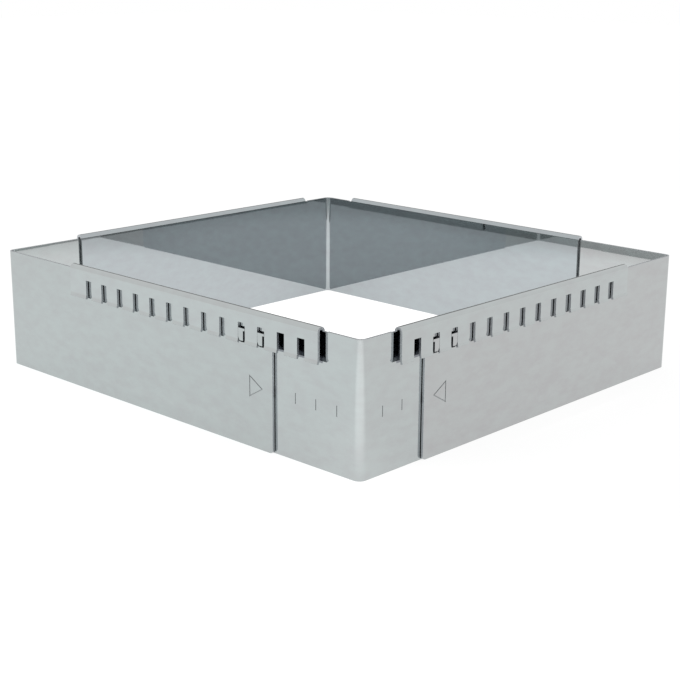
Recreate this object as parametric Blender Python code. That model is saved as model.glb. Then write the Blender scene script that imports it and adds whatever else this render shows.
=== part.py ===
"""Adjustable rectangular pastry frame, folded from four L-shaped corners of stainless sheet.

Two equal inner corners stand at opposite ends of one diagonal. The top of each of their wings is
folded outward and down into a hooked rail, whose lower lip is cut into a comb of open notches.
Two equal outer corners stand at the other two places. Their plain wings run up inside the rails,
and near each wing's end are two teeth, one notch apart, that line up with the notches.

The real teeth stand out level with the lip's outer face and lock in the notches, and the comb is
lifted over them to set another size. Here the wings slide straight along the rails, with no lift,
so each tooth stops short of the lip's inner face and doesn't lock. TOOTH_RISE holds that height.

Metres, +Z up. The origin is on the floor at the middle of the frame. Each corner is drawn in its
own frame, with the origin on the floor where its two outer faces would meet, and with its wings
along +X and +Y.
"""
import math

import bmesh
import bpy
from mathutils import Vector

# Sheet and clearances
SHEET = 0.001
SLIP_GAP = 0.00025

# Height of the outer corners above the floor, and how much higher the inner corners' plain top is
OUTER_WALL_HEIGHT = 0.0498
INNER_WALL_RISE = 0.0002

# Bends and rounded sheet corners
CORNER_RADIUS = 0.003
WING_END_RADIUS = 0.0015
CORNER_STEPS = 8
WING_END_STEPS = 4
HOOK_STEPS = 10

# Comb of notches along each rail
NOTCH_COUNT = 13
NOTCH_PITCH = 0.010
NOTCH_WIDTH = 0.0036
NOTCH_DEPTH = 0.00765
FIRST_NOTCH = 0.02585

# Rail: lengths beyond the first and last notch, and the lip below the fold
RAIL_LEAD = 0.00815
RAIL_TAIL = 0.01215
LIP_DROP = 0.01125
LIP_FLARE = 0.0005
FLARE_HEIGHT = 0.002
FLARE_STEPS = 3
RELIEF_WIDTH = 0.0019
RELIEF_DEPTH = 0.0008

# Teeth near the end of each outer wing: tongues cut free on three sides and rooted at the top
TOOTH_COUNT = 2
TOOTH_WIDTH = 0.0026
TOOTH_ABOVE_LIP = 0.00095
TOOTH_FACE_HEIGHT = 0.0046
TOOTH_SLOPE_HEIGHT = 0.0015
TOOTH_SLOT = 0.0003
TOOTH_CLEARANCE = 0.0001
TOOTH_FROM_END = 0.00485
TOOTH_PLAY = 0.00035

# Inside size with the teeth in the first notches, and how many notches the frame is opened
INSIDE_CLOSED = 0.1815
WIDTH_NOTCHES_OPEN = 1
LENGTH_NOTCHES_OPEN = 2

# How far a cutter runs past the sheet that it cuts, and how near two points are joined
OVERRUN = 0.001
MERGE_DISTANCE = 0.000001

# Finish of the steel
STEEL_COLOUR = (0.50, 0.52, 0.52, 1.0)
STEEL_ROUGHNESS = 0.12
SMOOTH_ANGLE = math.radians(30)

# Sizes that follow from the ones above
HALF_SHEET = SHEET / 2
CHANNEL_WIDTH = SHEET + 2 * SLIP_GAP
RAIL_START = FIRST_NOTCH - RAIL_LEAD
INNER_WING = FIRST_NOTCH + (NOTCH_COUNT - 1) * NOTCH_PITCH + RAIL_TAIL
OUTER_OFFSET = SLIP_GAP + SHEET
OUTER_WING = (
    INSIDE_CLOSED + 2 * SHEET + OUTER_OFFSET - FIRST_NOTCH - TOOTH_PLAY + TOOTH_FROM_END
)
INNER_WALL_HEIGHT = OUTER_WALL_HEIGHT + INNER_WALL_RISE
HOOK_RADIUS = (CHANNEL_WIDTH + SHEET) / 2
HOOK_CENTRE_HEIGHT = OUTER_WALL_HEIGHT
LIP_BOTTOM = HOOK_CENTRE_HEIGHT - LIP_DROP
RELIEF_HEIGHT = INNER_WALL_HEIGHT - RELIEF_DEPTH
TOOTH_RISE = SLIP_GAP - TOOTH_CLEARANCE
TOOTH_BASE = LIP_BOTTOM + TOOTH_ABOVE_LIP
TOOTH_FACE_TOP = TOOTH_BASE + TOOTH_FACE_HEIGHT
TOOTH_TOP = TOOTH_FACE_TOP + TOOTH_SLOPE_HEIGHT
INSIDE_WIDTH = INSIDE_CLOSED + WIDTH_NOTCHES_OPEN * NOTCH_PITCH
INSIDE_LENGTH = INSIDE_CLOSED + LENGTH_NOTCHES_OPEN * NOTCH_PITCH
HALF_WIDTH = INSIDE_WIDTH / 2 + SHEET
HALF_LENGTH = INSIDE_LENGTH / 2 + SHEET


def clear_scene():
    for old in list(bpy.data.objects):
        bpy.data.objects.remove(old, do_unlink=True)


def steel(name):
    """Bright rolled stainless sheet."""
    material = bpy.data.materials.new(name)
    material.use_nodes = True
    shader = material.node_tree.nodes["Principled BSDF"]
    shader.inputs["Base Color"].default_value = STEEL_COLOUR
    shader.inputs["Metallic"].default_value = 1.0
    shader.inputs["Roughness"].default_value = STEEL_ROUGHNESS
    return material


def new_object(name, mesh_builder):
    """An object whose mesh comes from a bmesh."""
    mesh = bpy.data.meshes.new(name)
    mesh_builder.to_mesh(mesh)
    mesh_builder.free()
    made = bpy.data.objects.new(name, mesh)
    bpy.context.collection.objects.link(made)
    return made


def corner_stations(wing, end_steps):
    """Places along the middle of the sheet, from one wing's end round the bend to the other's.

    Each is (point, outward direction, distance from the nearer wing's end).
    """
    along = [0.0]
    for step in range(1, end_steps + 1):
        turn = math.pi / 2 * step / end_steps
        along.append(WING_END_RADIUS * (1 - math.cos(turn)))
    first = [(Vector((HALF_SHEET, wing - s)), Vector((-1, 0)), s) for s in along]
    bend = []
    middle_radius = CORNER_RADIUS - HALF_SHEET
    for step in range(CORNER_STEPS + 1):
        turn = math.pi / 2 * step / CORNER_STEPS
        out = Vector((-math.cos(turn), -math.sin(turn)))
        centre = Vector((CORNER_RADIUS, CORNER_RADIUS))
        bend.append((centre + out * middle_radius, out, wing - CORNER_RADIUS))
    second = [(point.yx, out.yx, s) for point, out, s in reversed(first)]
    return first + bend + second


def end_rounding(distance):
    """How much the rounded sheet corner takes off the height, at a distance from the wing's end."""
    if distance >= WING_END_RADIUS:
        return 0.0
    reach = WING_END_RADIUS - distance
    return WING_END_RADIUS - math.sqrt(max(WING_END_RADIUS**2 - reach**2, 0.0))


def sheet_point(station, offset, height):
    """A point at a distance outside the middle of the sheet and a height above the floor."""
    point, out, _ = station
    place = point + out * offset
    return Vector((place.x, place.y, height))


def add_sheet_quads(builder, rows):
    """Quads between neighbouring rows of points. Equal points are joined later."""
    for low, high in zip(rows, rows[1:]):
        for a, b, c, d in zip(low, low[1:], high[1:], high):
            corners = [builder.verts.new(p) for p in (a, b, c, d)]
            builder.faces.new(corners)


def weld(builder):
    """Joins the quads' equal corners into one surface."""
    bmesh.ops.remove_doubles(builder, verts=builder.verts, dist=MERGE_DISTANCE)
    bmesh.ops.dissolve_degenerate(builder, edges=builder.edges, dist=MERGE_DISTANCE)
    bmesh.ops.recalc_face_normals(builder, faces=builder.faces)


def solidify(made):
    """Gives the middle surface the sheet's thickness, half to each side."""
    thickness = made.modifiers.new("sheet thickness", "SOLIDIFY")
    thickness.thickness = SHEET
    thickness.offset = 0.0
    thickness.use_even_offset = True
    thickness.use_rim = True


def hook_profile():
    """The rail's section above the relief, as (offset outside the wall's middle, height)."""
    points = [(0.0, HOOK_CENTRE_HEIGHT)]
    for step in range(1, HOOK_STEPS + 1):
        turn = math.pi * step / HOOK_STEPS
        offset = HOOK_RADIUS * (1 - math.cos(turn))
        points.append((offset, HOOK_CENTRE_HEIGHT + HOOK_RADIUS * math.sin(turn)))
    lip = 2 * HOOK_RADIUS
    for step in range(FLARE_STEPS + 1):
        share = step / FLARE_STEPS
        height = LIP_BOTTOM + FLARE_HEIGHT * (1 - share)
        points.append((lip + LIP_FLARE * share**2, height))
    return points


def rail_station(distance, wing_along_x):
    """A place on the straight part of a wing, at a distance from the corner."""
    point = Vector((HALF_SHEET, distance))
    out = Vector((-1, 0))
    if wing_along_x:
        return (point.yx, out.yx, INNER_WING - distance)
    return (point, out, INNER_WING - distance)


def inner_corner_surface():
    """Middle surface of an inner corner: walls, plain top at the bend, and the two hooked rails."""
    builder = bmesh.new()
    stations = corner_stations(INNER_WING, WING_END_STEPS)
    wing_end = stations[: WING_END_STEPS + 1]
    bend = stations[WING_END_STEPS + 1 : -WING_END_STEPS - 1]
    plain_end = RAIL_START - RELIEF_WIDTH
    first_rail = wing_end + [rail_station(RAIL_START, False)]
    first_relief = [rail_station(RAIL_START, False), rail_station(plain_end, False)]
    plain = [rail_station(plain_end, False)] + bend + [rail_station(plain_end, True)]
    second_relief = [rail_station(plain_end, True), rail_station(RAIL_START, True)]
    second_rail = [rail_station(RAIL_START, True)] + stations[-WING_END_STEPS - 1 :]

    def rows(zone, heights_and_offsets):
        floor_row = [sheet_point(s, 0.0, end_rounding(s[2])) for s in zone]
        return [floor_row] + [
            [sheet_point(s, offset, height) for s in zone]
            for offset, height in heights_and_offsets
        ]

    relief_line = [(0.0, RELIEF_HEIGHT)]
    for zone in (first_rail, second_rail):
        add_sheet_quads(builder, rows(zone, relief_line + hook_profile()))
    for zone in (first_relief, second_relief):
        add_sheet_quads(builder, rows(zone, relief_line))
    add_sheet_quads(builder, rows(plain, relief_line + [(0.0, INNER_WALL_HEIGHT)]))
    weld(builder)
    return builder


def add_block(builder, low, high):
    """A box between two opposite corners."""
    made = bmesh.ops.create_cube(builder, size=1.0)
    middle = (low + high) / 2
    size = high - low
    for vertex in made["verts"]:
        vertex.co = Vector(c * s + m for c, s, m in zip(vertex.co, size, middle))


def notch_cutters(name, corner):
    """The combs' notches on both wings, as blocks that cross the lip and stop in the channel."""
    builder = bmesh.new()
    near = -CHANNEL_WIDTH / 2
    far = -(CHANNEL_WIDTH + SHEET + LIP_FLARE + OVERRUN)
    for number in range(NOTCH_COUNT):
        middle = FIRST_NOTCH + number * NOTCH_PITCH
        low = middle - NOTCH_WIDTH / 2
        high = middle + NOTCH_WIDTH / 2
        bottom = LIP_BOTTOM - OVERRUN
        top = LIP_BOTTOM + NOTCH_DEPTH
        add_block(builder, Vector((low, far, bottom)), Vector((high, near, top)))
        add_block(builder, Vector((far, low, bottom)), Vector((near, high, top)))
    return tool_object(name, builder, corner)


def tool_object(name, builder, corner):
    """A cutter or a piece to be joined, drawn as wires and carried by its corner."""
    tool = new_object(name, builder)
    tool.parent = corner
    tool.hide_render = True
    tool.display_type = "WIRE"
    return tool


def boolean(corner, tool, operation):
    step = corner.modifiers.new(tool.name, "BOOLEAN")
    step.operation = operation
    step.solver = "EXACT"
    step.object = tool


def add_prism(builder, low_ring, high_ring):
    """A closed solid between two equal rings of points."""
    low = [builder.verts.new(p) for p in low_ring]
    high = [builder.verts.new(p) for p in high_ring]
    builder.faces.new(low)
    builder.faces.new(high)
    for i in range(len(low)):
        j = (i + 1) % len(low)
        builder.faces.new((low[i], low[j], high[j], high[i]))


def wing_point(out, along, height, wing_along_x):
    """A point beside a wing: out from its outer face, along it from the corner, above the floor."""
    if wing_along_x:
        return (along, -out, height)
    return (-out, along, height)


def tooth_tool(name, corner, rings):
    """One tool with a solid at every tooth. rings gives its two ends as (out, along, height)."""
    builder = bmesh.new()
    for number in range(TOOTH_COUNT):
        middle = OUTER_WING - TOOTH_FROM_END - number * NOTCH_PITCH
        for wing_along_x in (False, True):
            ends = []
            for ring in rings:
                ends.append([wing_point(o, middle + a, h, wing_along_x) for o, a, h in ring])
            add_prism(builder, *ends)
    bmesh.ops.recalc_face_normals(builder, faces=builder.faces)
    return tool_object(name, builder, corner)


def across_tooth(profile):
    """A section of (out, height) points, carried across the tooth to the middle of its slots."""
    reach = (TOOTH_WIDTH + TOOTH_SLOT) / 2
    return [[(o, side * reach, h) for o, h in profile] for side in (-1, 1)]


def tooth_pad(name, corner):
    """The tooth's outer side: a raised face with a slope above it that runs back into the sheet."""
    low = TOOTH_BASE - TOOTH_SLOT / 2
    sunk = HALF_SHEET / 2
    sunk_height = TOOTH_TOP + TOOTH_SLOPE_HEIGHT * sunk / TOOTH_RISE
    profile = [
        (-HALF_SHEET, low),
        (TOOTH_RISE, low),
        (TOOTH_RISE, TOOTH_FACE_TOP),
        (-sunk, sunk_height),
        (-HALF_SHEET, sunk_height),
    ]
    return tooth_tool(name, corner, across_tooth(profile))


def tooth_hollow(name, corner):
    """The hollow behind the tooth, as deep as the tooth stands out."""
    low = TOOTH_BASE - TOOTH_SLOT / 2
    back = -SHEET - HALF_SHEET / 2
    back_height = TOOTH_TOP + TOOTH_SLOPE_HEIGHT * (-SHEET - back) / TOOTH_RISE
    profile = [
        (back, low),
        (TOOTH_RISE - SHEET, low),
        (TOOTH_RISE - SHEET, TOOTH_FACE_TOP),
        (back, back_height),
    ]
    return tooth_tool(name, corner, across_tooth(profile))


def tooth_slot(name, corner):
    """The slot that frees the tooth at both sides and along its lower edge."""
    inner = TOOTH_WIDTH / 2
    outer = inner + TOOTH_SLOT
    bottom = TOOTH_BASE - TOOTH_SLOT
    outline = [
        (-outer, TOOTH_TOP),
        (-outer, bottom),
        (outer, bottom),
        (outer, TOOTH_TOP),
        (inner, TOOTH_TOP),
        (inner, TOOTH_BASE),
        (-inner, TOOTH_BASE),
        (-inner, TOOTH_TOP),
    ]
    behind = -SHEET - OVERRUN
    before = TOOTH_RISE + OVERRUN
    rings = [[(out, a, h) for a, h in outline] for out in (behind, before)]
    return tooth_tool(name, corner, rings)


def outer_corner_surface():
    """Middle surface of an outer corner: two plain walls with rounded ends."""
    builder = bmesh.new()
    stations = corner_stations(OUTER_WING, WING_END_STEPS)
    low = [sheet_point(s, 0.0, end_rounding(s[2])) for s in stations]
    high = [sheet_point(s, 0.0, OUTER_WALL_HEIGHT - end_rounding(s[2])) for s in stations]
    add_sheet_quads(builder, [low, high])
    weld(builder)
    return builder


def place(corner, x, y, quarter_turns):
    """Puts a corner's sharp outer corner at a place and turns it about +Z."""
    corner.location = (x, y, 0.0)
    corner.rotation_euler = (0.0, 0.0, math.pi / 2 * quarter_turns)


def finish(corner):
    corner.data.materials.append(steel(corner.name + " steel"))
    corner.data.shade_smooth()
    corner.data.set_sharp_from_angle(angle=SMOOTH_ANGLE)


def make_inner_corner(name, x, y, quarter_turns):
    corner = new_object(name, inner_corner_surface())
    place(corner, x, y, quarter_turns)
    solidify(corner)
    boolean(corner, notch_cutters(name + " notches", corner), "DIFFERENCE")
    finish(corner)
    return corner


def make_outer_corner(name, x, y, quarter_turns):
    corner = new_object(name, outer_corner_surface())
    place(corner, x, y, quarter_turns)
    solidify(corner)
    boolean(corner, tooth_pad(name + " tooth faces", corner), "UNION")
    boolean(corner, tooth_hollow(name + " tooth hollows", corner), "DIFFERENCE")
    boolean(corner, tooth_slot(name + " tooth slots", corner), "DIFFERENCE")
    finish(corner)
    return corner


def build():
    clear_scene()
    outer_x = HALF_WIDTH + OUTER_OFFSET
    outer_y = HALF_LENGTH + OUTER_OFFSET
    make_inner_corner("near_corner", -HALF_WIDTH, -HALF_LENGTH, 0)
    make_inner_corner("far_corner", HALF_WIDTH, HALF_LENGTH, 2)
    make_outer_corner("right_corner", outer_x, -outer_y, 1)
    make_outer_corner("left_corner", -outer_x, outer_y, -1)


build()
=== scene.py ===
"""Looks of the adjustable cake frame: four folded corners of bright stainless sheet.

Metres, +Z up, in the same frame as the solids. Each corner is drawn in its own frame, with the
origin on the floor where its two outer faces would meet and its wings along +X and +Y, and is
then turned and moved to its place. The teeth stand as far out as the real ones, level with the
lip, where those of the solids are low.
"""
import math
from collections import namedtuple

import bmesh
import bpy
from mathutils import Matrix, Vector


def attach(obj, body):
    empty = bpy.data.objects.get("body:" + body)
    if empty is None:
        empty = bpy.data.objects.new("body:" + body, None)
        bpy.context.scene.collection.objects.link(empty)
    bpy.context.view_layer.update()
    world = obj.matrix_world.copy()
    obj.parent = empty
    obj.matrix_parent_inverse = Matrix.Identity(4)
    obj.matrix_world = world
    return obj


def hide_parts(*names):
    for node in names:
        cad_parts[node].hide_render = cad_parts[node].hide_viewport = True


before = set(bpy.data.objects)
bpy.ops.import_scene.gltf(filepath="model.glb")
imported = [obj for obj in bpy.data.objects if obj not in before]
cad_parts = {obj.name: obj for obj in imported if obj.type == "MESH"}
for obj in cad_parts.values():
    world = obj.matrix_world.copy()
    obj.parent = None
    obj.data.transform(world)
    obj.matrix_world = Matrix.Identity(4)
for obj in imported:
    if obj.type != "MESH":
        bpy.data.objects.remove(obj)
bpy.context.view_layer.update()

# Sheet, clearances and heights, as in the solids
SHEET = 0.001
SLIP_GAP = 0.00025
OUTER_WALL_HEIGHT = 0.0498
INNER_WALL_RISE = 0.0002
CORNER_RADIUS = 0.003
WING_END_RADIUS = 0.0015

# Comb and rail, as in the solids
NOTCH_COUNT = 13
NOTCH_PITCH = 0.010
NOTCH_WIDTH = 0.0036
NOTCH_DEPTH = 0.00765
FIRST_NOTCH = 0.02585
RAIL_LEAD = 0.00815
RAIL_TAIL = 0.01215
LIP_DROP = 0.01125
LIP_FLARE = 0.0005
FLARE_HEIGHT = 0.002
RELIEF_WIDTH = 0.0019

# Teeth, placed as in the solids but standing further out, with a finer outline
TOOTH_COUNT = 2
TOOTH_FAR_REACH = 0.00137
TOOTH_NEAR_REACH = 0.00115
TOOTH_SHOULDER_REACH = 0.00205
TOOTH_ABOVE_LIP = 0.00095
TOOTH_SHOULDER_BASE = 0.0037
TOOTH_CUT_WIDTH = 0.0007
TOOTH_CUT_HEIGHT = 0.0012
TOOTH_FACE_HEIGHT = 0.0043
TOOTH_LEDGE_HEIGHT = 0.0005
TOOTH_SLOT = 0.0003
TOOTH_GAP_BELOW = 0.0009
TOOTH_FROM_END = 0.00485
TOOTH_PLAY = 0.00035

# Setting
INSIDE_CLOSED = 0.1815
WIDTH_NOTCHES_OPEN = 1
LENGTH_NOTCHES_OPEN = 2

# Engraved graduation and pointer
TICK_COUNT = 13
FIRST_TICK = 0.011
TICK_WIDTH = 0.00035
TICK_BOTTOM = 0.021
TICK_TOP = 0.025
ENGRAVING_DEPTH = 0.00015
CUTTER_OVERRUN = 0.0005
POINTER_FROM_END = 0.0048
POINTER_LENGTH = 0.0071
POINTER_HEIGHT = 0.0083
POINTER_MIDDLE = 0.0231
POINTER_LINE = 0.0004

# Fineness of the drawn surface
BEND_STEPS = 16
HOOK_STEPS = 20
FLARE_STEPS = 6
WING_END_STEPS = 4
EDGE_ROUNDING = 0.00008
EDGE_SEGMENTS = 2
EDGE_ANGLE = math.radians(40)
MERGE_DISTANCE = 0.000001

# Sizes that follow
HALF_SHEET = SHEET / 2
CHANNEL_WIDTH = SHEET + 2 * SLIP_GAP
INNER_WALL_HEIGHT = OUTER_WALL_HEIGHT + INNER_WALL_RISE
RAIL_START = FIRST_NOTCH - RAIL_LEAD
INNER_WING = FIRST_NOTCH + (NOTCH_COUNT - 1) * NOTCH_PITCH + RAIL_TAIL
OUTER_OFFSET = SLIP_GAP + SHEET
OUTER_WING = (
    INSIDE_CLOSED + 2 * SHEET + OUTER_OFFSET - FIRST_NOTCH - TOOTH_PLAY + TOOTH_FROM_END
)
HOOK_RADIUS = (CHANNEL_WIDTH + SHEET) / 2
LIP_OFFSET = 2 * HOOK_RADIUS
LIP_BOTTOM = OUTER_WALL_HEIGHT - LIP_DROP
NOTCH_TOP = LIP_BOTTOM + NOTCH_DEPTH
TOOTH_RISE = SLIP_GAP + SHEET
TOOTH_BASE = LIP_BOTTOM + TOOTH_ABOVE_LIP
TOOTH_FACE_TOP = TOOTH_BASE + TOOTH_FACE_HEIGHT
HALF_WIDTH = (INSIDE_CLOSED + WIDTH_NOTCHES_OPEN * NOTCH_PITCH) / 2 + SHEET
HALF_LENGTH = (INSIDE_CLOSED + LENGTH_NOTCHES_OPEN * NOTCH_PITCH) / 2 + SHEET

# Camera, fitted to the photograph
CAMERA_PLACE = (-0.415437, -0.395983, 0.171545)
CAMERA_YAW = math.radians(-47.347)
CAMERA_PITCH = math.radians(14.945)
CAMERA_ROLL = math.radians(0.603)
CAMERA_LENS = 72.494
CAMERA_SENSOR = 36.0
CAMERA_SHIFT = (-0.03368, -0.02370)

# Light and background. The room behind the frame is dim, and only reflections show it
WHITE = (1.0, 1.0, 1.0)
BACKGROUND_STRENGTH = 1.0
DIFFUSE_STRENGTH = 0.9
DIM_DIRECTION = (0.70, 0.66, 0.28)
DIM_REACH = (0.90, 0.985)
DIM_SHADE = 0.70
FLOOR_GLOW = 0.85
FLOOR_COLOUR = (0.20, 0.20, 0.20, 1.0)
FLOOR_SIZE = 6.0
LAMP_RADIUS = 0.03
FRONT_PLACE = (-0.180, -0.168, 0.40)
FRONT_CONE = math.radians(34)
FRONT_BLEND = 0.6
FRONT_POWER = 8.6
FRONT_COLOUR = WHITE
SIDE_PLACE = (-0.28, 0.07, 0.50)
SIDE_CONE = math.radians(66)
SIDE_BLEND = 0.8
SIDE_POWER = 3.8
SIDE_COLOUR = (0.55, 0.95, 1.0)
INSIDE_PLACE = (0.018, 0.018, 0.60)
INSIDE_CONE = math.radians(22.5)
INSIDE_BLEND = 0.3
INSIDE_POWER = 15.7
INSIDE_COLOUR = WHITE

# Rolled steel, with its grain, mottling and waves. The colour per corner is partly the sheet's
# slight tint and partly painted light and shade, matched to how bright each corner comes out: the
# far corner, seen only inside the frame, is painted darker as painted shade
STEEL_COLOURS_WITH_PAINTED_SHADE = {
    "near_corner": (0.472, 0.505, 0.504),
    "far_corner": (0.412, 0.449, 0.463),
    "left_corner": (0.457, 0.490, 0.488),
    "right_corner": (0.461, 0.479, 0.479),
}
STEEL_ROUGHNESS = 0.02
STEEL_ROUGHNESS_SHARES = (0.7, 1.5)
MOTTLING_SHARES = (0.962, 0.935, 0.944)
MOTTLING_REACH = (0.3, 0.65)
MOTTLING_SCALE = (150.0, 150.0, 320.0)
MOTTLING_DETAIL = 3.0
GRAIN_SCALE = (25.0, 25.0, 1500.0)
GRAIN_DETAIL = 3.0
GRAIN_STRENGTH = 0.002
GRAIN_DEPTH = 0.0001
WAVE_SCALE = (14.0, 14.0, 22.0)
WAVE_DETAIL = 1.0
WAVE_STRENGTH = 0.02
WAVE_DEPTH = 0.001

# Duller steel: cut edges and engraved marks. A dark painted shade inside the folds and on the
# sides and ledges of the teeth, where shade falls
DULL_SCALE = 2500.0
DULL_ROUGHNESS_SHARES = (0.8, 1.2)
EDGE_COLOUR = (0.50, 0.52, 0.54, 1.0)
EDGE_ROUGHNESS = 0.45
# Painted shade: the inside of the folds is coloured dark in place of the shade that falls there
CHANNEL_PAINTED_SHADE_COLOUR = (0.22, 0.23, 0.25, 1.0)
CHANNEL_ROUGHNESS = 0.08
MARK_COLOUR = (0.34, 0.355, 0.36, 1.0)
MARK_ROUGHNESS = 0.45

# A place along the middle of the sheet, and a row of points that runs past such places
Station = namedtuple("Station", "point out distance")
Row = namedtuple("Row", "part height at")


def wing_station(distance, wing):
    """The place on a wing at a distance from the corner."""
    if wing == "x":
        return Station(Vector((distance, HALF_SHEET)), Vector((0, -1)), distance)
    return Station(Vector((HALF_SHEET, distance)), Vector((-1, 0)), distance)


def bend_stations():
    """Places round the bend, from the wing along +Y to the wing along +X."""
    centre = Vector((CORNER_RADIUS, CORNER_RADIUS))
    found = []
    for step in range(BEND_STEPS + 1):
        turn = math.pi / 2 * step / BEND_STEPS
        out = Vector((-math.cos(turn), -math.sin(turn)))
        point = centre + out * (CORNER_RADIUS - HALF_SHEET)
        found.append(Station(point, out, CORNER_RADIUS))
    return found


def end_columns(wing_length):
    """Distances at which the rounded sheet corner at a wing's end is drawn."""
    turns = [math.pi / 2 * step / WING_END_STEPS for step in range(WING_END_STEPS + 1)]
    return [wing_length - WING_END_RADIUS * (1 - math.cos(turn)) for turn in turns]


def end_rounding(distance, wing_length):
    """How much the rounded sheet corner takes off the height."""
    reach = distance - (wing_length - WING_END_RADIUS)
    if reach <= 0:
        return 0.0
    return WING_END_RADIUS - math.sqrt(max(WING_END_RADIUS**2 - reach**2, 0.0))


def sheet_point(station, offset, height):
    """A point outside the middle of the sheet by an offset, at a height above the floor."""
    place = station.point + station.out * offset
    return Vector((place.x, place.y, height))


def add_quads(builder, stations, rows, is_hole=None):
    """Quads between neighbouring stations and rows, apart from those in a hole."""
    for low, high in zip(rows, rows[1:]):
        for a, b in zip(stations, stations[1:]):
            if is_hole and is_hole((a.distance + b.distance) / 2, low, high):
                continue
            corners = [low.at(a), low.at(b), high.at(b), high.at(a)]
            builder.faces.new([builder.verts.new(corner) for corner in corners])


def weld(builder):
    """Joins the quads where they meet, and turns them all to one side."""
    bmesh.ops.remove_doubles(builder, verts=builder.verts, dist=MERGE_DISTANCE)
    bmesh.ops.dissolve_degenerate(builder, edges=builder.edges, dist=MERGE_DISTANCE)
    bmesh.ops.recalc_face_normals(builder, faces=builder.faces)


def row(height, offset=0.0, part="wall"):
    """A level row of the sheet."""
    return Row(part, height, lambda station: sheet_point(station, offset, height))


def edge_row(height, direction, wing_length):
    """A cut edge of the sheet, which turns up or down at the rounded corner of a wing's end."""
    def place(station):
        taken = end_rounding(station.distance, wing_length)
        return sheet_point(station, 0.0, height + direction * taken)

    return Row("wall", height, place)


def hook_rows():
    """The rail above the wall: the fold, the straight lip and its flared lower edge."""
    rows = []
    for step in range(1, HOOK_STEPS + 1):
        turn = math.pi * step / HOOK_STEPS
        offset = HOOK_RADIUS * (1 - math.cos(turn))
        rows.append(row(OUTER_WALL_HEIGHT + HOOK_RADIUS * math.sin(turn), offset))
    rows.append(row(NOTCH_TOP, LIP_OFFSET, "lip"))
    for step in range(FLARE_STEPS + 1):
        share = step / FLARE_STEPS
        height = LIP_BOTTOM + FLARE_HEIGHT * (1 - share)
        rows.append(row(height, LIP_OFFSET + LIP_FLARE * share**2, "lip"))
    return rows


def in_notch(distance, low, high):
    """Whether a quad lies on the lip, between a notch's sides."""
    if not (low.part == high.part == "lip"):
        return False
    number = round((distance - FIRST_NOTCH) / NOTCH_PITCH)
    if not 0 <= number < NOTCH_COUNT:
        return False
    return abs(distance - FIRST_NOTCH - number * NOTCH_PITCH) < NOTCH_WIDTH / 2


def rail_columns():
    """Distances along a rail at which its surface is divided."""
    columns = end_columns(INNER_WING) + [RAIL_START]
    for number in range(NOTCH_COUNT):
        middle = FIRST_NOTCH + number * NOTCH_PITCH
        columns += [middle - NOTCH_WIDTH / 2, middle + NOTCH_WIDTH / 2]
    return sorted(columns)


def inner_corner_surface():
    """Middle surface of an inner corner: plain walls, and a hooked rail along each wing."""
    builder = bmesh.new()
    wall = [edge_row(0.0, 1, INNER_WING), row(LIP_BOTTOM), row(OUTER_WALL_HEIGHT)]
    plain_end = RAIL_START - RELIEF_WIDTH
    for wing in ("x", "y"):
        rail = [wing_station(d, wing) for d in rail_columns()]
        add_quads(builder, rail, wall + hook_rows(), in_notch)
        # A short relief beside the rail, where the sheet ends level with the fold's start
        gap = [wing_station(plain_end, wing), wing_station(RAIL_START, wing)]
        add_quads(builder, gap, wall)
    plain = [wing_station(plain_end, "y")] + bend_stations() + [wing_station(plain_end, "x")]
    add_quads(builder, plain, wall + [row(INNER_WALL_HEIGHT)])
    weld(builder)
    return builder


def tooth_middles():
    """Distances of the teeth's middles from the corner."""
    return [OUTER_WING - TOOTH_FROM_END - n * NOTCH_PITCH for n in range(TOOTH_COUNT)]


def wall_columns():
    """Distances along an outer wing at which its surface is divided."""
    columns = end_columns(OUTER_WING)
    for middle in tooth_middles():
        columns += [middle - TOOTH_FAR_REACH - TOOTH_SLOT, middle - TOOTH_FAR_REACH]
        columns += [middle + TOOTH_NEAR_REACH, middle + TOOTH_SHOULDER_REACH]
        columns += [middle + TOOTH_SHOULDER_REACH + TOOTH_SLOT]
    return sorted(columns)


def tooth_rows():
    """A tooth from its lower edge up: a face level with the lip, then a ledge back to the wall."""
    return [
        row(TOOTH_BASE, TOOTH_RISE),
        row(TOOTH_BASE + TOOTH_CUT_HEIGHT, TOOTH_RISE),
        row(TOOTH_BASE + TOOTH_SHOULDER_BASE, TOOTH_RISE),
        row(TOOTH_FACE_TOP, TOOTH_RISE),
        row(TOOTH_FACE_TOP + TOOTH_LEDGE_HEIGHT),
    ]


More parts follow.
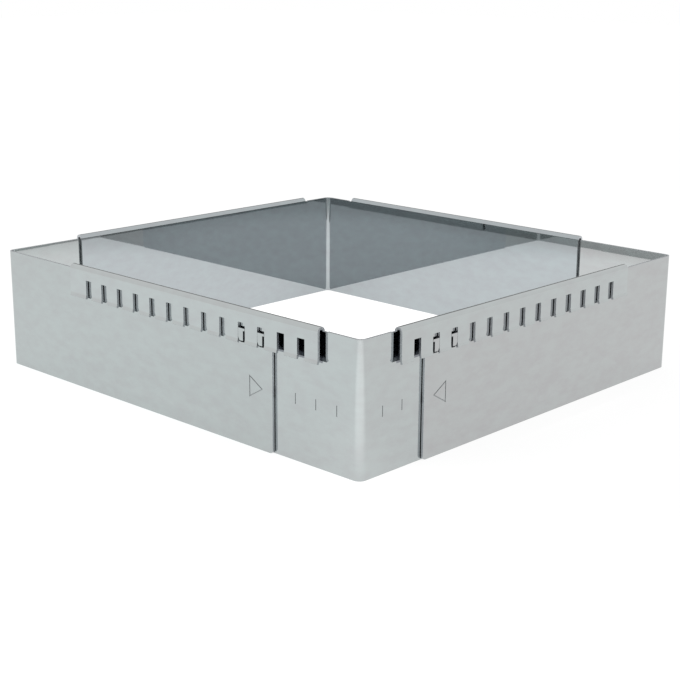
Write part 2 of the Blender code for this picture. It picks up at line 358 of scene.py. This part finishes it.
def outer_corner_surface():
    """Middle surface of an outer corner: plain walls, with slots round each tooth."""
    builder = bmesh.new()
    window_bottom = TOOTH_BASE - TOOTH_GAP_BELOW
    window_top = TOOTH_FACE_TOP + TOOTH_LEDGE_HEIGHT
    rows = [
        edge_row(0.0, 1, OUTER_WING),
        row(window_bottom),
        row(window_top),
        edge_row(OUTER_WALL_HEIGHT, -1, OUTER_WING),
    ]

    def in_window(distance, low, high):
        """Whether a quad lies in the opening that a tooth is cut and bent out of."""
        beside = any(
            -TOOTH_FAR_REACH - TOOTH_SLOT < distance - middle < TOOTH_SHOULDER_REACH + TOOTH_SLOT
            for middle in tooth_middles()
        )
        return beside and low.height == window_bottom and high.height == window_top

    for wing in ("x", "y"):
        wall = [wing_station(d, wing) for d in wall_columns()]
        add_quads(builder, [wing_station(CORNER_RADIUS, wing)] + wall, rows, in_window)
        for middle in tooth_middles():
            far = wing_station(middle - TOOTH_FAR_REACH, wing)
            near = wing_station(middle + TOOTH_NEAR_REACH, wing)
            shoulder = wing_station(middle + TOOTH_SHOULDER_REACH, wing)
            cut = wing_station(middle - TOOTH_FAR_REACH + TOOTH_CUT_WIDTH, wing)
            add_quads(builder, [far, near], tooth_rows()[1:])
            add_quads(builder, [near, shoulder], tooth_rows()[2:])
            low, high = tooth_rows()[:2]
            outline = [low.at(cut), low.at(near), high.at(near), high.at(far)]
            builder.faces.new([builder.verts.new(corner) for corner in outline])
    add_quads(builder, bend_stations(), rows)
    weld(builder)
    return builder


def new_object(name, builder):
    """An object in the scene, with the mesh that was built for it."""
    mesh = bpy.data.meshes.new(name)
    builder.to_mesh(mesh)
    builder.free()
    made = bpy.data.objects.new(name, mesh)
    bpy.context.scene.collection.objects.link(made)
    return made


def wing_point(depth, along, height, wing):
    """A point below a wing's outer face by a depth."""
    if wing == "x":
        return Vector((along, depth, height))
    return Vector((depth, along, height))


def add_ring_prism(builder, outer, inner, wing):
    """A closed frame between two outlines of (along, height), cut into the sheet."""
    count = len(outer)
    shells = []
    for depth in (-CUTTER_OVERRUN, ENGRAVING_DEPTH):
        shells.append([
            [builder.verts.new(wing_point(depth, a, h, wing)) for a, h in outline]
            for outline in (outer, inner)
        ])
    for i in range(count):
        j = (i + 1) % count
        for ring_a, ring_b in (
            (shells[0][0], shells[0][1]),
            (shells[1][0], shells[1][1]),
            (shells[0][0], shells[1][0]),
            (shells[0][1], shells[1][1]),
        ):
            builder.faces.new((ring_a[i], ring_a[j], ring_b[j], ring_b[i]))


def add_block(builder, along, heights, wing):
    """A block cut into the sheet between two distances and two heights."""
    low = wing_point(-CUTTER_OVERRUN, along[0], heights[0], wing)
    high = wing_point(ENGRAVING_DEPTH, along[1], heights[1], wing)
    made = bmesh.ops.create_cube(builder, size=1.0)
    for vertex in made["verts"]:
        vertex.co = (low + high) / 2 + Vector(c * s for c, s in zip(vertex.co, high - low))


def tick_cutter():
    """Graduation lines on both wings, one for each setting."""
    builder = bmesh.new()
    for wing in ("x", "y"):
        for number in range(TICK_COUNT):
            middle = FIRST_TICK + number * NOTCH_PITCH
            sides = (middle - TICK_WIDTH / 2, middle + TICK_WIDTH / 2)
            add_block(builder, sides, (TICK_BOTTOM, TICK_TOP), wing)
    bmesh.ops.recalc_face_normals(builder, faces=builder.faces)
    return new_object("tick cutter", builder)


def pointer_cutter():
    """An outlined triangle near each wing's end, pointing to the end."""
    builder = bmesh.new()
    tip = OUTER_WING - POINTER_FROM_END
    back = tip - POINTER_LENGTH
    half = POINTER_HEIGHT / 2
    outer = [
        Vector((tip, POINTER_MIDDLE)),
        Vector((back, POINTER_MIDDLE + half)),
        Vector((back, POINTER_MIDDLE - half)),
    ]
    count = len(outer)
    sides = [(outer[(i + 1) % count] - outer[(i + 2) % count]).length for i in range(count)]
    around = sum(sides)
    centre = sum((p * s for p, s in zip(outer, sides)), Vector((0, 0))) / around
    inner_radius = POINTER_LENGTH * POINTER_HEIGHT / around
    shrink = 1 - POINTER_LINE / inner_radius
    inner = [centre + (p - centre) * shrink for p in outer]
    for wing in ("x", "y"):
        add_ring_prism(builder, outer, inner, wing)
    bmesh.ops.recalc_face_normals(builder, faces=builder.faces)
    return new_object("pointer cutter", builder)


def settle(piece):
    """Turns a piece and its modifiers into one plain mesh."""
    bpy.context.view_layer.update()
    graph = bpy.context.evaluated_depsgraph_get()
    mesh = bpy.data.meshes.new_from_object(piece.evaluated_get(graph))
    piece.modifiers.clear()
    piece.data = mesh


def in_channel(face):
    """Whether a face of a railed corner lies inside the folds, between wall and lip, where the
    dark painted shade goes.
    """
    depth, along = sorted(face.center.xy)
    across = -CHANNEL_WIDTH - LIP_FLARE - EDGE_ROUNDING < depth < EDGE_ROUNDING
    roof = OUTER_WALL_HEIGHT + CHANNEL_WIDTH / 2
    inside = across and LIP_BOTTOM < face.center.z < roof + EDGE_ROUNDING and along > RAIL_START
    return inside and not faces_along(face)


def beside_tooth(face):
    """Whether a face of a plain corner is a side or the ledge of a tooth, which is coloured dark
    as painted shade.
    """
    depth = min(face.center.xy)
    raised = -TOOTH_RISE < depth < -EDGE_ROUNDING
    return raised and (faces_along(face) or face.normal.z > math.sin(EDGE_ANGLE))


def faces_along(face):
    """Whether a face looks along its wing."""
    along = face.normal.x if face.center.x > face.center.y else face.normal.y
    return abs(along) > math.sin(EDGE_ANGLE)


def make_sheet(name, surface, cutter, gets_painted_shade, materials):
    """A finished sheet in its own frame: thickness, rounded cut edges and engraving."""
    piece = new_object(name, surface)
    steel, cut_edge, mark, shaded = materials
    piece.data.materials.append(steel)
    piece.data.materials.append(cut_edge)
    thickness = piece.modifiers.new("sheet thickness", "SOLIDIFY")
    thickness.thickness = SHEET
    thickness.offset = 0.0
    thickness.use_even_offset = True
    thickness.material_offset_rim = 1
    rounding = piece.modifiers.new("cut edges", "BEVEL")
    rounding.width = EDGE_ROUNDING
    rounding.segments = EDGE_SEGMENTS
    rounding.limit_method = "ANGLE"
    rounding.angle_limit = EDGE_ANGLE
    cutter.data.materials.append(mark)
    engraving = piece.modifiers.new("engraving", "BOOLEAN")
    engraving.operation = "DIFFERENCE"
    engraving.solver = "EXACT"
    engraving.material_mode = "TRANSFER"
    engraving.object = cutter
    settle(piece)
    bpy.data.objects.remove(cutter, do_unlink=True)
    # Painted shade: the faces that the mask picks, inside the folds or beside the teeth, are
    # coloured dark
    piece.data.materials.append(shaded)
    for face in piece.data.polygons:
        if gets_painted_shade(face):
            face.material_index = len(piece.data.materials) - 1
    piece.data.shade_smooth()
    piece.data.set_sharp_from_angle(angle=EDGE_ANGLE)
    normals = piece.modifiers.new("flat faces stay flat", "WEIGHTED_NORMAL")
    normals.keep_sharp = True
    return piece


def put(piece, node, x, y, quarter_turns):
    """Moves a sheet to its node's place and makes it ride there."""
    turn = Matrix.Rotation(math.pi / 2 * quarter_turns, 4, "Z")
    piece.data.transform(Matrix.Translation((x, y, 0.0)) @ turn)
    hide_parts(node)
    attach(piece, node)


def steel_material(node):
    """Bright rolled sheet: faint grain along the wings, soft mottling and a slight waviness. Its
    colour per corner carries painted light and shade.
    """
    material = bpy.data.materials.new("bright rolled steel, " + node.replace("_", " "))
    material.use_nodes = True
    nodes = material.node_tree.nodes
    links = material.node_tree.links
    shader = nodes["Principled BSDF"]
    shader.inputs["Metallic"].default_value = 1.0
    place = nodes.new("ShaderNodeTexCoord")

    def noise(scale, detail):
        stretch = nodes.new("ShaderNodeMapping")
        stretch.inputs["Scale"].default_value = scale
        texture = nodes.new("ShaderNodeTexNoise")
        texture.inputs["Scale"].default_value = 1.0
        texture.inputs["Detail"].default_value = detail
        links.new(place.outputs["Object"], stretch.inputs["Vector"])
        links.new(stretch.outputs["Vector"], texture.inputs["Vector"])
        return texture.outputs["Fac"]

    mottling = noise(MOTTLING_SCALE, MOTTLING_DETAIL)
    grain = noise(GRAIN_SCALE, GRAIN_DETAIL)
    waves = noise(WAVE_SCALE, WAVE_DETAIL)

    tint = nodes.new("ShaderNodeValToRGB")
    dark, light = tint.color_ramp.elements
    dark.position, light.position = MOTTLING_REACH
    shade = [c * share for c, share in zip(STEEL_COLOURS_WITH_PAINTED_SHADE[node], MOTTLING_SHARES)]
    dark.color = (*shade, 1.0)
    light.color = (*STEEL_COLOURS_WITH_PAINTED_SHADE[node], 1.0)
    links.new(mottling, tint.inputs["Fac"])
    links.new(tint.outputs["Color"], shader.inputs["Base Color"])

    rough = nodes.new("ShaderNodeMapRange")
    rough.inputs["To Min"].default_value = STEEL_ROUGHNESS * STEEL_ROUGHNESS_SHARES[0]
    rough.inputs["To Max"].default_value = STEEL_ROUGHNESS * STEEL_ROUGHNESS_SHARES[1]
    links.new(grain, rough.inputs["Value"])
    links.new(rough.outputs["Result"], shader.inputs["Roughness"])

    fine = nodes.new("ShaderNodeBump")
    fine.inputs["Strength"].default_value = GRAIN_STRENGTH
    fine.inputs["Distance"].default_value = GRAIN_DEPTH
    links.new(grain, fine.inputs["Height"])
    broad = nodes.new("ShaderNodeBump")
    broad.inputs["Strength"].default_value = WAVE_STRENGTH
    broad.inputs["Distance"].default_value = WAVE_DEPTH
    links.new(waves, broad.inputs["Height"])
    links.new(fine.outputs["Normal"], broad.inputs["Normal"])
    links.new(broad.outputs["Normal"], shader.inputs["Normal"])
    return material


def dull_and_painted_shade_material(name, colour, roughness):
    """Bare steel with an uneven finish: duller than the rolled face for cut edges and marks, and
    dark as painted shade inside the folds and beside the teeth.
    """
    material = bpy.data.materials.new(name)
    material.use_nodes = True
    nodes = material.node_tree.nodes
    links = material.node_tree.links
    shader = nodes["Principled BSDF"]
    shader.inputs["Base Color"].default_value = colour
    shader.inputs["Metallic"].default_value = 1.0
    place = nodes.new("ShaderNodeTexCoord")
    texture = nodes.new("ShaderNodeTexNoise")
    texture.inputs["Scale"].default_value = DULL_SCALE
    links.new(place.outputs["Object"], texture.inputs["Vector"])
    rough = nodes.new("ShaderNodeMapRange")
    rough.inputs["To Min"].default_value = roughness * DULL_ROUGHNESS_SHARES[0]
    rough.inputs["To Max"].default_value = roughness * DULL_ROUGHNESS_SHARES[1]
    links.new(texture.outputs["Fac"], rough.inputs["Value"])
    links.new(rough.outputs["Result"], shader.inputs["Roughness"])
    return material


def make_frame():
    """All four corners, with the same sizes as their solids."""
    # Duller steel for cut edges and marks, and painted shade for the inside of the folds and
    # beside the teeth
    dull_and_painted_shade = (
        dull_and_painted_shade_material("cut edge of steel", EDGE_COLOUR, EDGE_ROUGHNESS),
        dull_and_painted_shade_material("engraved steel", MARK_COLOUR, MARK_ROUGHNESS),
        dull_and_painted_shade_material("painted shade inside a fold", CHANNEL_PAINTED_SHADE_COLOUR, CHANNEL_ROUGHNESS),
    )
    outer_x = HALF_WIDTH + OUTER_OFFSET
    outer_y = HALF_LENGTH + OUTER_OFFSET
    inner = (inner_corner_surface, tick_cutter, in_channel)
    outer = (outer_corner_surface, pointer_cutter, beside_tooth)
    for node, kind, x, y, quarter_turns in (
        ("near_corner", inner, -HALF_WIDTH, -HALF_LENGTH, 0),
        ("far_corner", inner, HALF_WIDTH, HALF_LENGTH, 2),
        ("right_corner", outer, outer_x, -outer_y, 1),
        ("left_corner", outer, -outer_x, outer_y, -1),
    ):
        surface, cutter, gets_painted_shade = kind
        materials = (steel_material(node), *dull_and_painted_shade)
        sheet = make_sheet(node + "_sheet", surface(), cutter(), gets_painted_shade, materials)
        put(sheet, node, x, y, quarter_turns)


def make_world():
    """Even white light, and a white background also in reflections."""
    world = bpy.data.worlds.new("white room")
    world.use_nodes = True
    nodes = world.node_tree.nodes
    links = world.node_tree.links
    light = nodes["Background"]
    light.inputs["Color"].default_value = (*WHITE, 1.0)
    strength = nodes.new("ShaderNodeMapRange")
    strength.inputs["To Min"].default_value = DIFFUSE_STRENGTH
    strength.inputs["To Max"].default_value = BACKGROUND_STRENGTH
    links.new(shown_rays(nodes, links), strength.inputs["Value"])
    lit = nodes.new("ShaderNodeMath")
    lit.operation = "MULTIPLY"
    links.new(strength.outputs["Result"], lit.inputs[0])
    links.new(room_light(nodes, links), lit.inputs[1])
    links.new(lit.outputs[0], light.inputs["Strength"])
    bpy.context.scene.world = world


def room_light(nodes, links):
    """1 everywhere, but less towards the room behind the frame on glossy rays."""
    place = nodes.new("ShaderNodeTexCoord")
    along = nodes.new("ShaderNodeVectorMath")
    along.operation = "DOT_PRODUCT"
    along.inputs[1].default_value = Vector(DIM_DIRECTION).normalized()
    links.new(place.outputs["Generated"], along.inputs[0])
    shade = nodes.new("ShaderNodeMapRange")
    shade.interpolation_type = "SMOOTHSTEP"
    shade.inputs["From Min"].default_value = DIM_REACH[0]
    shade.inputs["From Max"].default_value = DIM_REACH[1]
    shade.inputs["To Max"].default_value = DIM_SHADE
    links.new(along.outputs["Value"], shade.inputs["Value"])
    path = nodes.new("ShaderNodeLightPath")
    mirrored = nodes.new("ShaderNodeMath")
    mirrored.operation = "MULTIPLY"
    links.new(shade.outputs["Result"], mirrored.inputs[0])
    links.new(path.outputs["Is Glossy Ray"], mirrored.inputs[1])
    left = nodes.new("ShaderNodeMath")
    left.operation = "SUBTRACT"
    left.inputs[0].default_value = 1.0
    links.new(mirrored.outputs[0], left.inputs[1])
    return left.outputs[0]


def shown_rays(nodes, links):
    """1 on camera, glossy and transmission rays, and 0 on the rays that only carry light."""
    path = nodes.new("ShaderNodeLightPath")
    first = nodes.new("ShaderNodeMath")
    first.operation = "MAXIMUM"
    links.new(path.outputs["Is Camera Ray"], first.inputs[0])
    links.new(path.outputs["Is Glossy Ray"], first.inputs[1])
    second = nodes.new("ShaderNodeMath")
    second.operation = "MAXIMUM"
    links.new(first.outputs[0], second.inputs[0])
    links.new(path.outputs["Is Transmission Ray"], second.inputs[1])
    return second.outputs[0]


def make_floor():
    """A white floor that keeps a soft shadow."""
    builder = bmesh.new()
    bmesh.ops.create_grid(builder, x_segments=1, y_segments=1, size=FLOOR_SIZE / 2)
    floor = new_object("floor", builder)
    material = bpy.data.materials.new("white floor")
    material.use_nodes = True
    nodes = material.node_tree.nodes
    links = material.node_tree.links
    nodes.remove(nodes["Principled BSDF"])
    diffuse = nodes.new("ShaderNodeBsdfDiffuse")
    diffuse.inputs["Color"].default_value = FLOOR_COLOUR
    glow = nodes.new("ShaderNodeEmission")
    strength = nodes.new("ShaderNodeMath")
    strength.operation = "MULTIPLY"
    strength.inputs[1].default_value = FLOOR_GLOW
    links.new(shown_rays(nodes, links), strength.inputs[0])
    links.new(strength.outputs[0], glow.inputs["Strength"])
    both = nodes.new("ShaderNodeAddShader")
    links.new(diffuse.outputs["BSDF"], both.inputs[0])
    links.new(glow.outputs["Emission"], both.inputs[1])
    links.new(both.outputs["Shader"], nodes["Material Output"].inputs["Surface"])
    floor.data.materials.append(material)


def make_lamp(name, place, cone, blend, power, colour):
    """A soft spot straight down on the floor. The walls reflect its light, but not the lamp."""
    data = bpy.data.lights.new(name, "SPOT")
    data.energy = power
    data.color = colour
    data.shadow_soft_size = LAMP_RADIUS
    data.spot_size = cone
    data.spot_blend = blend
    lamp = bpy.data.objects.new(name, data)
    lamp.location = place
    lamp.visible_glossy = False
    bpy.context.scene.collection.objects.link(lamp)


def make_camera():
    """The photograph's viewpoint."""
    back = Vector((
        math.sin(CAMERA_YAW) * math.cos(CAMERA_PITCH),
        -math.cos(CAMERA_YAW) * math.cos(CAMERA_PITCH),
        math.sin(CAMERA_PITCH),
    ))
    right = Vector((math.cos(CAMERA_YAW), math.sin(CAMERA_YAW), 0.0))
    up = back.cross(right)
    turn = Matrix((right, up, back)).transposed() @ Matrix.Rotation(CAMERA_ROLL, 3, "Z")
    data = bpy.data.cameras.new("camera")
    data.lens = CAMERA_LENS
    data.sensor_width = CAMERA_SENSOR
    data.sensor_fit = "HORIZONTAL"
    data.shift_x = CAMERA_SHIFT[0]
    data.shift_y = CAMERA_SHIFT[1]
    camera = bpy.data.objects.new("camera", data)
    camera.matrix_world = Matrix.Translation(CAMERA_PLACE) @ turn.to_4x4()
    bpy.context.scene.collection.objects.link(camera)
    bpy.context.scene.camera = camera


make_frame()
make_world()
make_floor()
make_lamp("front lamp", FRONT_PLACE, FRONT_CONE, FRONT_BLEND, FRONT_POWER, FRONT_COLOUR)
make_lamp("side lamp", SIDE_PLACE, SIDE_CONE, SIDE_BLEND, SIDE_POWER, SIDE_COLOUR)
make_lamp("inside lamp", INSIDE_PLACE, INSIDE_CONE, INSIDE_BLEND, INSIDE_POWER, INSIDE_COLOUR)
make_camera()
bpy.context.scene.view_settings.view_transform = "Standard"
